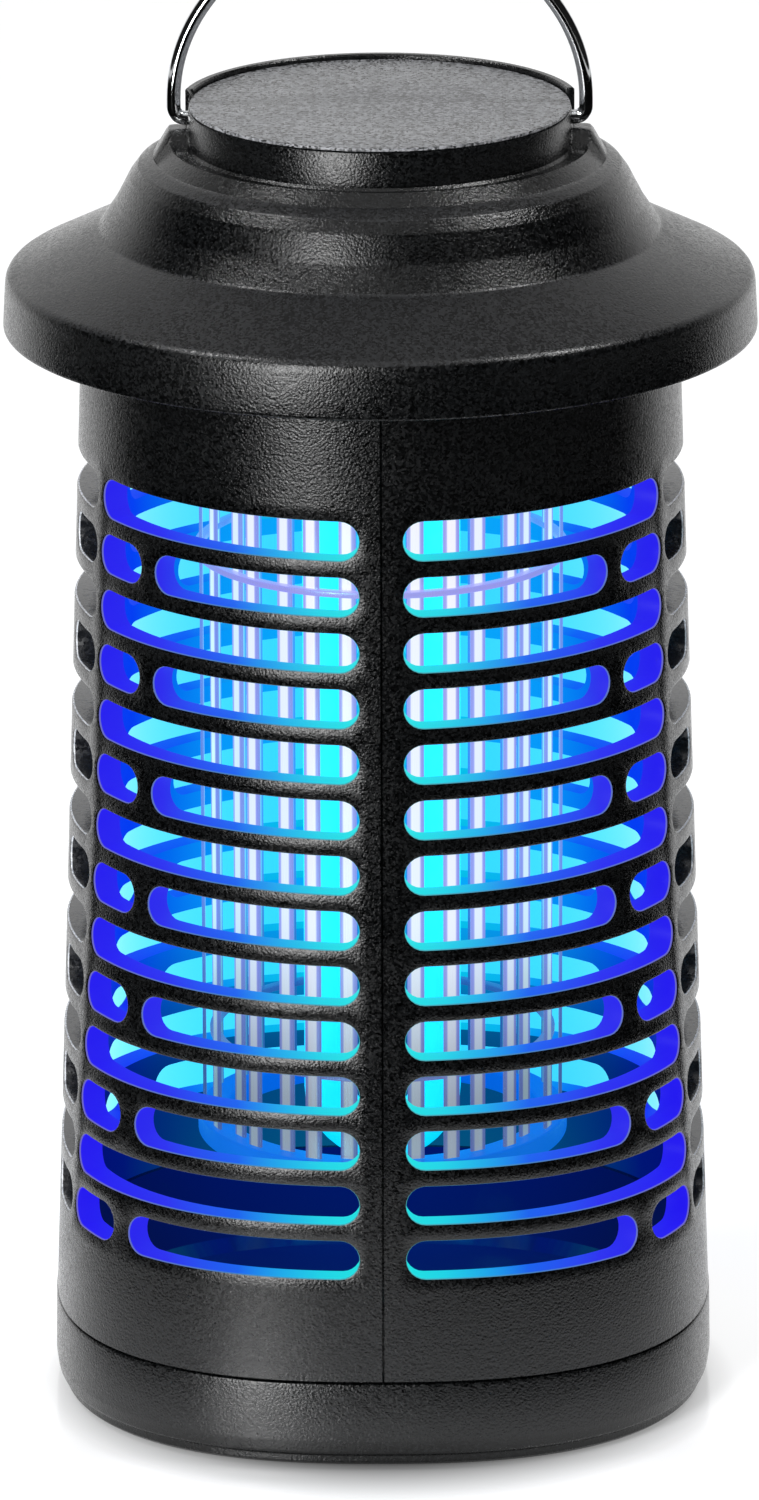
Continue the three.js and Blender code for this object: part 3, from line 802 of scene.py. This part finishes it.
# %% Geometry Nodes helper
class Recipe:
    """A geometry tree with named inputs, run once for each piece that it makes."""

    def __init__(self, name, floats, **others):
        self.tree = bpy.data.node_groups.new(name, "GeometryNodeTree")
        socket = self.tree.interface.new_socket
        socket("Geometry", in_out="OUTPUT", socket_type="NodeSocketGeometry")
        kinds = {**dict.fromkeys(floats.split(), "Float"), **others, "Material": "Material"}
        for label, kind in kinds.items():
            socket(label.replace("_", " "), in_out="INPUT", socket_type="NodeSocket" + kind)
        self.source = self.tree.nodes.new("NodeGroupInput")
        self.output = self.tree.nodes.new("NodeGroupOutput")

    def value(self, label):
        return self.source.outputs[label.replace("_", " ")]

    def add(self, kind, settings=None, **inputs):
        return add(self.tree, kind, settings, "GeometryNode", **inputs)

    def end(self, geometry):
        """Realizes the instances, sets the material, and sends the result out."""
        real = self.add("RealizeInstances", Geometry=geometry)
        painted = self.add("SetMaterial", Geometry=real, Material=self.value("Material"))
        feed(self.output, n0=painted)

    def make(self, name, sharp=40, **values):
        holder = new_object(name, bpy.data.meshes.new(name))
        step = holder.modifiers.new("recipe", "NODES")
        step.node_group = self.tree
        for item in self.tree.interface.items_tree:
            if item.in_out == "INPUT":
                step[item.identifier] = values[item.name.replace(" ", "_")]
        evaluated = holder.evaluated_get(bpy.context.evaluated_depsgraph_get())
        mesh = bpy.data.meshes.new_from_object(evaluated)
        holder.modifiers.remove(step)
        holder.data = mesh
        mesh.name = name
        mesh.polygons.foreach_set("use_smooth", [True] * len(mesh.polygons))
        mesh.set_sharp_from_angle(angle=radians(sharp))
        return holder


# %% [markdown]
# ## Charged strips
# Sixteen strips stand in a ring and are joined by a hoop: one ring is live and the other is the
# return. A rounded bar is swept for one strip. How far across its face a point lies is stored as
# "across" before the strip is repeated, so every copy carries it.

# %% Strip ring recipe
strip_recipe = Recipe("strip_ring", "Radius Low High Width Thickness Turn Hoop_radius Hoop_height "
                      "Hoop_width Hoop_depth", Count="Int")
value, node, tree = strip_recipe.value, strip_recipe.add, strip_recipe.tree
foot, head, set_off, lift = (add(tree, "CombineXYZ", Z=value(label))
                             for label in ("Low", "High", "Turn", "Hoop_height"))
rounding = add(tree, "Math", {"operation": "MULTIPLY"}, n0=value("Thickness"), n1=0.42)
outline = node("CurvePrimitiveQuadrilateral", Width=value("Thickness"), Height=value("Width"))
outline = node("FilletCurve", {"mode": "POLY"}, Curve=outline, Count=3, Radius=rounding, Limit_Radius=True)
rail = node("CurvePrimitiveLine", Start=foot, End=head)
bar = node("CurveToMesh", n0=rail, n1=outline, Fill_Caps=True)
place = add(tree, "SeparateXYZ", Vector=node("InputPosition"))
part = add(tree, "Math", {"operation": "DIVIDE"}, n0=place.outputs[1], n1=value("Width"))
part = add(tree, "Math", {"operation": "ADD"}, n0=part, n1=0.5)
# across places each strip's painted highlight.
named = node("StoreNamedAttribute", {"data_type": "FLOAT", "domain": "POINT"}, Geometry=bar,
             Name="across", Value=part)
posts = node("MeshCircle", Vertices=value("Count"), Radius=value("Radius"))
share = add(tree, "Math", {"operation": "DIVIDE"}, n0=tau, n1=value("Count"))
angle = add(tree, "Math", {"operation": "MULTIPLY"}, n0=node("InputIndex"), n1=share)
turned = add(tree, "CombineXYZ", Z=angle)
ring = node("InstanceOnPoints", Points=posts, Instance=named, Rotation=turned)
ring = node("Transform", Geometry=ring, Rotation=set_off)
band = node("CurvePrimitiveQuadrilateral", Width=value("Hoop_width"), Height=value("Hoop_depth"))
band = node("FilletCurve", {"mode": "POLY"}, Curve=band, Count=3, Radius=0.3 * MM)
circle = node("CurvePrimitiveCircle", Resolution=128, Radius=value("Hoop_radius"))
hoop = node("CurveToMesh", n0=circle, n1=band)
hoop = node("Transform", Geometry=hoop, Translation=lift)
both = node("JoinGeometry", n0=ring)
feed(both, n0=hoop)
strip_recipe.end(both)

# %% Strip rings
STRIPS, STRIP_WIDE, STRIP_THICK = 16, 4.0, 0.8
RING_LOW, RING_HIGH = span("grid_live", 2)
rings = {}
for node_name, radius, turn_by, hoop_r, hoop_z in (
    ("grid_live", 42.0, 0.0, 42.5, 201.0), ("grid_return", 40.0, 0.5, 39.5, 83.0)):
    rings[node_name] = strip_recipe.make(
        node_name + "_strips", Count=STRIPS, Radius=radius * MM, Low=RING_LOW * MM, High=RING_HIGH * MM,
        Width=STRIP_WIDE * MM, Thickness=STRIP_THICK * MM, Turn=turn_by * tau / STRIPS,
        Hoop_radius=hoop_r * MM, Hoop_height=hoop_z * MM, Hoop_width=2.4 * MM, Hoop_depth=1.4 * MM,
        Material=STRIP_PAINTED_GLOW)
    size = [round(v / MM, 1) for v in rings[node_name].dimensions]
    print(node_name, size, len(rings[node_name].data.polygons), "faces")

# %% [markdown]
# ## Insulators, tube and its holder
# The strips stand between two plastic rings. The tube is a U of phosphor-coated glass that plugs into
# a holder in the ceiling. All of these are turned or swept, with their corners rounded.

# %% Insulators and lamp
TURNED = {
    "insulator_ring_top": (128, WHITE_PP, [
        (36, 250, 0.6), (45, 250, 0.6), (45, 255), (44, 255.6), (44, 258.7), (37, 258.7), (37, 255.6),
        (36, 255)]),
    "insulator_ring_bottom": (128, RING_PAINTED_BLUE_LIGHT, [
        (37, 58, 0.7), (43.6, 58, 0.7), (43.6, 63, 0.7), (37, 63, 0.7)]),
    "lamp_base_cap": (72, WHITE_PP, [
        (AXIS, 228), (18.6, 228), (20, 228, 0.8), (20, 233, 0.3), (19.4, 233.4, 0.2), (19.4, 235, 0.2),
        (20, 235.4, 0.3), (20, 242, 1.0), (14, 245.7, 1.0), (AXIS, 245.7)]),
    "lamp_holder_socket": (72, WHITE_PP, [
        (AXIS, 246), (15, 246, 0.6), (15, 262), (18.5, 262, 0.5), (18.5, 264.6, 0.5), (AXIS, 264.6)]),
}
for name, (sides, finish, corners) in TURNED.items():
    profile = rounded(corners)
    TURNED[name] = turn(name, lambda _: profile, even_angles(sides), [finish])
LAMP_LEG, LAMP_TUBE, LAMP_TOP, LAMP_BOTTOM = 12.5, 12.0, 227.7, 50.0
bend = LAMP_BOTTOM + LAMP_TUBE / 2 + LAMP_LEG
u_path = [(-LAMP_LEG, 0, LAMP_TOP - 0.5 - (LAMP_TOP - bend) * k / 12) for k in range(12)]
half_turn = [pi * k / 20 for k in range(21)]
u_path += [(-LAMP_LEG * cos(t), 0, bend - LAMP_LEG * sin(t)) for t in half_turn]
u_path += [(LAMP_LEG, 0, LAMP_TOP - 0.5 - (LAMP_TOP - bend) * k / 12) for k in reversed(range(12))]
lamp = tube("uv_lamp_tube", u_path, LAMP_TUBE / 2, 28, PHOSPHOR)
print("tube:", len(lamp.data.polygons), "faces")

# %% [markdown]
# ## Gland, feet and screws
# The gland is a soft rubber bush with grip rings, lying along Y in the back of the neck. Feet and
# screws come in fours at the corners of a square, so one recipe places both. The screws are
# pan-headed with a cross recess, cut by a mesh boolean inside the tree.

# %% Gland
bush = rounded([
    (3.3, -7), (4.6, -7, 0.4), (4.6, 2.2), (6.8, 2.2, 0.4), (6.8, 4, 0.5), (5.0, 4.8, 0.3),
    (5.0, 6.4, 0.3), (4.5, 6.6), (4.5, 7.2), (4.9, 7.4, 0.3), (4.8, 8.8, 0.3), (4.4, 9.0),
    (4.4, 9.6), (4.6, 9.8, 0.3), (4.3, 12, 0.5), (3.3, 12)])
gland = turn("lead_gland", lambda _: bush, even_angles(48), [RUBBER])
gland.data.transform(Matrix.Rotation(radians(-90), 4, "X"))
gland.data.transform(Matrix.Translation(Vector((0, 59.8, lead_z)) * MM))

# %% Four at the corners
corner_recipe = Recipe("four_at_corners", "Radius Low High Spread_X Spread_Y Recess Shank Shank_top")
value, node, tree = corner_recipe.value, corner_recipe.add, corner_recipe.tree


def length(above, below):
    """From one height to another: how long it is, and a vector up to its middle."""
    tall = add(tree, "Math", {"operation": "SUBTRACT"}, n0=above, n1=below)
    middle = add(tree, "Math", {"operation": "MULTIPLY_ADD"}, n0=tall, n1=0.5, n2=below)
    return tall, add(tree, "CombineXYZ", Z=middle)


tall, rise = length(value("High"), value("Low"))
slit_long, slit_wide, half_down = (
    add(tree, "Math", {"operation": "MULTIPLY"}, n0=whole, n1=share)
    for whole, share in ((value("Radius"), 1.1), (value("Radius"), 0.24), (tall, -0.5)))
cross = node("JoinGeometry")
for first, second in ((slit_long, slit_wide), (slit_wide, slit_long)):
    block = add(tree, "CombineXYZ", X=first, Y=second, Z=value("Recess"))
    feed(cross, n0=node("MeshCube", Size=block))
drop = add(tree, "CombineXYZ", Z=half_down)
cross = node("Transform", Geometry=cross, Translation=drop)
drum = node("MeshCylinder", Vertices=40, Side_Segments=1, Radius=value("Radius"), Depth=tall)
head = node("MeshBoolean", {"operation": "DIFFERENCE"}, Mesh_1=drum, Mesh_2=cross)
one = node("JoinGeometry", n0=node("Transform", Geometry=head, Translation=rise))
tall, rise = length(value("Shank_top"), value("High"))
shank = node("MeshCylinder", Vertices=20, Radius=value("Shank"), Depth=tall)
feed(one, n0=node("Transform", Geometry=shank, Translation=rise))
corners = node("MeshGrid", Size_X=value("Spread_X"), Size_Y=value("Spread_Y"), Vertices_X=2, Vertices_Y=2)
corner_recipe.end(node("InstanceOnPoints", Points=corners, Instance=one))


def corner_set(name, node, count_from, radius, shank, recess, material):
    """Four screws or feet where the frame has node_1 to node_4."""
    low, high = (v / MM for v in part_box(node + "_1"))
    other_low, other_high = (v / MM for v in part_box(node + "_4"))
    spread = (other_low + other_high - low - high) / 2
    head_top = low.z + count_from
    return corner_recipe.make(name, Radius=radius * MM, Low=low.z * MM, High=head_top * MM,
                              Spread_X=abs(spread.x) * MM, Spread_Y=abs(spread.y) * MM, Recess=recess * MM,
                              Shank=shank * MM, Shank_top=high.z * MM, Material=material)


feet = corner_set("rubber_feet", "foot", 1.2, 5.0, 4.6, 0.0001, RUBBER)
ceiling_screws = corner_set("ceiling_screw_set", "ceiling_screw", 2.2, 3.4, 1.5, 2.0, SCREW_STEEL)
board_screws = corner_set("board_screw_set", "board_screw", 1.0, 2.0, 1.0, 1.0, SCREW_STEEL)
for made in (feet, ceiling_screws, board_screws):
    print(made.name, [round(v / MM, 1) for v in made.dimensions], len(made.data.polygons), "faces")

# %% [markdown]
# ## Finishes on the frame's own parts
# The small parts on the board keep their CAD shapes, since they are out of sight under the dome. They
# still get the finish that each would have.

# %% Carried-over parts
CARRIED = {"chamber_ceiling": WHITE_PP, "circuit_board": FIBREGLASS, "hv_transformer": FERRITE,
           "ballast_choke": FERRITE, "fuse": LACQUER}
for count in range(1, 5):
    CARRIED[f"hv_capacitor_{count}"] = CAPACITOR
    CARRIED[f"hv_diode_{count}"] = EPOXY
for count in (1, 2):
    CARRIED[f"bleed_resistor_{count}"] = LACQUER
for name, finish in CARRIED.items():
    for slot in frame["nodes"][name].material_slots:
        slot.material = finish
print("carried over:", len(CARRIED))

# %% [markdown]
# ## Who rides on what
# The bail and the tray move. Everything else belongs to the housing. Each piece names the CAD nodes
# that it stands for and the slot that its finish comes from.

# %% Riding
PIECES = [
    (cap, "housing", "black_abs", "cap_shell"),
    (disc, "housing", "grey_abs", "top_disc"),
    (bail, "bail", "chrome_wire", "bail_handle"),
    (halves["grille_right"], "housing", "black_abs", "grille_right"),
    (halves["grille_left"], "housing", "black_abs", "grille_left"),
    (tray, "tray", "black_abs", "collection_tray"),
    (feet, "tray", "black_rubber", "foot_1 foot_2 foot_3 foot_4"),
    (rings["grid_live"], "housing", "grid_steel", "grid_live"),
    (rings["grid_return"], "housing", "grid_steel", "grid_return"),
    (TURNED["insulator_ring_top"], "housing", "white_plastic", "grid_insulator_top"),
    (TURNED["insulator_ring_bottom"], "housing", "white_plastic", "grid_insulator_bottom"),
    (lamp, "housing", "uv_glass", "uv_lamp"),
    (TURNED["lamp_base_cap"], "housing", "white_plastic", "lamp_base"),
    (TURNED["lamp_holder_socket"], "housing", "white_plastic", "lamp_holder"),
    (gland, "housing", "black_rubber", "cord_gland"),
    (ceiling_screws, "housing", "screw_steel",
     "ceiling_screw_1 ceiling_screw_2 ceiling_screw_3 ceiling_screw_4"),
    (board_screws, "housing", "screw_steel", "board_screw_1 board_screw_2 board_screw_3 board_screw_4"),
]
for piece, body, slot_name, nodes in PIECES:
    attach(piece, body)
    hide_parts(*nodes.split())
print("pieces:", len(PIECES))

# %% [markdown]
# ## Light
# The set is a white sweep with the object well forward of it. What a glossy black thing shows is its
# surroundings: white behind and beside it lights its edges, and a dark front keeps its face black.
# One tall soft light at the front left draws the bright band, a soft top lights the brim, and two
# small high ones draw lines along the cap's edges. The world does the surroundings, from the
# direction alone.

# %% World
world = bpy.data.worlds.new("studio")
bpy.context.scene.world = world
world.use_nodes = True
tree = world.node_tree
tree.nodes.clear()
axes = add(tree, "SeparateXYZ", Vector=add(tree, "TexCoord").outputs["Generated"])
behind = add(tree, "MapRange", {"interpolation_type": "SMOOTHSTEP"}, Value=axes.outputs[1],
             n1=0.46, n2=0.72, n3=0.01, n4=0.84)
above = add(tree, "MapRange", {"interpolation_type": "SMOOTHSTEP"}, Value=axes.outputs[2],
            n1=0.5, n2=0.95, n3=0.0, n4=0.26)
level = add(tree, "Math", {"operation": "MAXIMUM"}, n0=behind, n1=above)
seen = add(tree, "LightPath").outputs["Is Camera Ray"]
strength = add(tree, "Math", {"operation": "MAXIMUM"}, n0=level, n1=seen)
paint = add(tree, "Background", Color=(1, 1, 1, 1), Strength=strength)
add(tree, "OutputWorld", Surface=paint)


# %% Studio lights
def soft_light(name, azimuth, elevation, away, wide, high, watts, aim=0.16):
    """An area light at an azimuth (0 is the front) and an elevation, aimed at a height on the axis."""
    lamp_data = bpy.data.lights.new(name, "AREA")
    lamp_data.shape, lamp_data.size, lamp_data.size_y = "RECTANGLE", wide, high
    lamp_data.energy = watts
    light = new_object(name, lamp_data)
    a, e = radians(azimuth), radians(elevation)
    out = Vector((sin(a) * cos(e), -cos(a) * cos(e), sin(e)))
    light.location = Vector((0, 0, aim)) + out * away
    light.rotation_mode = "QUATERNION"
    light.rotation_quaternion = out.to_track_quat("Z", "Y")
    light.visible_camera = False


soft_light("key", -28, 13, 1.6, 0.40, 1.8, 31)
soft_light("top", -10, 74, 1.4, 0.9, 0.9, 1.0)
soft_light("high_left", -80, 56, 1.2, 0.2, 0.2, 3.4, 0.28)
soft_light("high_right", 80, 56, 1.2, 0.2, 0.2, 4, 0.28)

# %% [markdown]
# ## The tube's light in the air
# The tube's cyan light fills the space between the strips and the grille, so even the white seen
# through the back windows looks cyan. A volume that soaks up red light and adds a little blue does
# that. It is part of the set's light and not of the object.

# %% Lit air
air_shape = [(AXIS, 41), (body_r(41) - 6.3, 41), (body_r(234) - 6.3, 234), (AXIS, 234)]
lit_air = turn("lit_air", lambda _: air_shape, even_angles(64), [])
air = bpy.data.materials.new("cyan_light_in_air")
air.use_nodes = True
tree = air.node_tree
tree.nodes.clear()
soak = add(tree, "VolumeAbsorption", Color=(0.0, 0.86, 1.0, 1.0), Density=26.0)
glow = add(tree, "Emission", Color=linear("#1040ff"), Strength=0.35)
mix = add(tree, "AddShader", n0=soak, n1=glow)
add(tree, "OutputMaterial", Volume=mix)
lit_air.data.materials.append(air)

# %% [markdown]
# ## Floor
# A pale gloss sweep. A trace of its own light lifts it to the white of the background, and a soft
# reflection of the base shows in it. Where the base keeps light off it, a painted shadow darkens it, a
# little more in front. It is one-sided: from below it isn't there, so the underside and the tray can be
# seen.


# %% Floor
def one_sided(tree, shader):
    """Makes a finish clear from behind its face."""
    under = add(tree, "NewGeometry").outputs["Backfacing"]
    clear = add(tree, "BsdfTransparent")
    made = add(tree, "MixShader", n0=under, n1=shader, n2=clear)
    add(tree, "OutputMaterial", Surface=made).is_active_output = True


SHADE_FORWARD, SHADE_FROM, SHADE_TO = 14, 60, 84
floor_mesh = bpy.data.meshes.new("floor")
floor_mesh.from_pydata([(-6, -4, 0), (6, -4, 0), (6, 8, 0), (-6, 8, 0)], [], [(0, 1, 2, 3)])
floor = new_object("floor", floor_mesh)
floor_finish, tree, shader, place = new_finish("pale_gloss_floor", Roughness=0.12, IOR=1.9,
                                               Emission_Color=(1, 1, 1, 1))
moved = add(tree, "Mapping", Vector=place, Location=(0, SHADE_FORWARD * MM, 0))
from_axis = add(tree, "VectorMath", {"operation": "LENGTH"}, n0=moved).outputs["Value"]
# Painted shadow: darker colour and less own light near the base, reaching farther in front.
shade = add(tree, "MapRange", Value=from_axis, n1=SHADE_FROM * MM, n2=SHADE_TO * MM, n3=0.15, n4=1.0)
white = add(tree, "Mix", {"data_type": "RGBA"}, n0=shade, n6=(0, 0, 0, 1), n7=linear("#e9eaec"))
glow = add(tree, "Math", {"operation": "MULTIPLY"}, n0=shade, n1=0.52)
feed(shader, Base_Color=white.outputs[2], Emission_Strength=glow)
one_sided(tree, shader)
floor_mesh.materials.append(floor_finish)

# %% [markdown]
# ## Black card
# A white floor in front would shine in the body's face. As in a studio, a black card lies on the
# floor there, a sector of a ring round the front. The camera doesn't see it, but the gloss does.

# %% Black card
CARD_FROM, CARD_TO, CARD_HALF_TURN, CARD_UP = 0.22, 3.2, 124, 0.002
velvet, tree, shader, place = new_finish("black_velvet_card", Base_Color=linear("#060606"),
                                         Roughness=1.0, Specular_IOR_Level=0.0)
one_sided(tree, shader)
spread = [radians(CARD_HALF_TURN * (k / 12 - 1)) for k in range(25)]
rim = [(r * sin(a), -r * cos(a), CARD_UP) for a in spread for r in (CARD_FROM, CARD_TO)]
card_mesh = bpy.data.meshes.new("floor_card")
card_mesh.from_pydata(rim, [], [(2 * k, 2 * k + 1, 2 * k + 3, 2 * k + 2) for k in range(24)])
card_mesh.materials.append(velvet)
card = new_object("floor_card", card_mesh)
card.visible_camera = card.visible_shadow = card.visible_diffuse = False

# %% [markdown]
# ## Colour management
# The standard view transform keeps the white ground white and the blues full.

# %% Finish
bpy.context.scene.view_settings.view_transform = "Standard"
